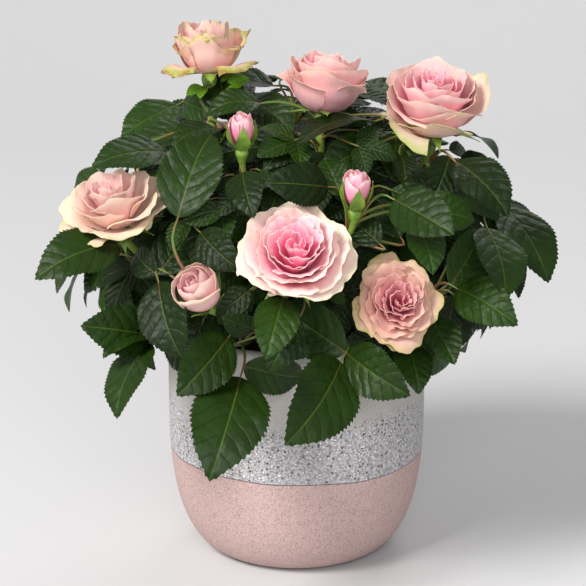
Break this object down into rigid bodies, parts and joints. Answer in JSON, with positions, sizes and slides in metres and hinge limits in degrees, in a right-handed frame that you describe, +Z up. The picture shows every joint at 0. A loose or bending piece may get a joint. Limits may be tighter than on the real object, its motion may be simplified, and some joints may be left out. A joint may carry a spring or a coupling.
{
  "type": "potted rose bush",
  "caption": "Bushy miniature rose with glossy serrated leaves, double blooms and buds, growing from a short woody stem in a round-bottomed glazed pot.",
  "frame": {"origin": "middle of the pot's flat underside", "axes": "+Z up, -Y towards the side with the most open blooms, +X to the right of someone who looks at that side"},
  "size_m": [0.2792, 0.27, 0.3047],
  "materials": {
    "pot": "matte pink below, rough white glaze above",
    "soil": "crumbly peat",
    "bark": "rough bark",
    "cane": "smooth green bark",
    "foliage": "glossy leaves"
  },
  "bodies": {
    "root": {"pot": "pot", "soil": "soil", "main_stem": "bark", "cane_upper_left": "cane", "cane_upper_middle": "cane", "cane_upper_right": "cane", "cane_left": "cane", "cane_middle": "cane", "cane_front_right": "cane", "cane_left_front": "cane", "cane_left_bud": "cane", "cane_right_bud": "cane", "cane_far_right": "cane", "cane_back_right": "cane", "cane_back": "cane", "cane_back_left": "cane", "cane_far_left": "cane", "cane_low_right": "cane", "cane_low_back_right": "cane", "cane_low_back_left": "cane", "cane_low_left": "cane", "cane_right": "cane", "cane_lower_left": "cane", "cane_lower_front": "cane", "cane_lower_middle": "cane", "cane_lower_right": "cane", "cane_top": "cane", "mass_upper_left": "foliage", "mass_upper_middle": "foliage", "mass_upper_right": "foliage", "mass_left": "foliage", "mass_middle": "foliage", "mass_front_right": "foliage", "mass_left_front": "foliage", "mass_left_bud": "foliage", "mass_right_bud": "foliage", "mass_far_right": "foliage", "mass_back_right": "foliage", "mass_back": "foliage", "mass_back_left": "foliage", "mass_far_left": "foliage", "mass_low_right": "foliage", "mass_low_back_right": "foliage", "mass_low_back_left": "foliage", "mass_low_left": "foliage", "mass_right": "foliage", "mass_lower_left": "foliage", "mass_lower_front": "foliage", "mass_lower_middle": "foliage", "mass_lower_right": "foliage", "mass_top": "foliage"}
  },
  "joints": []
}
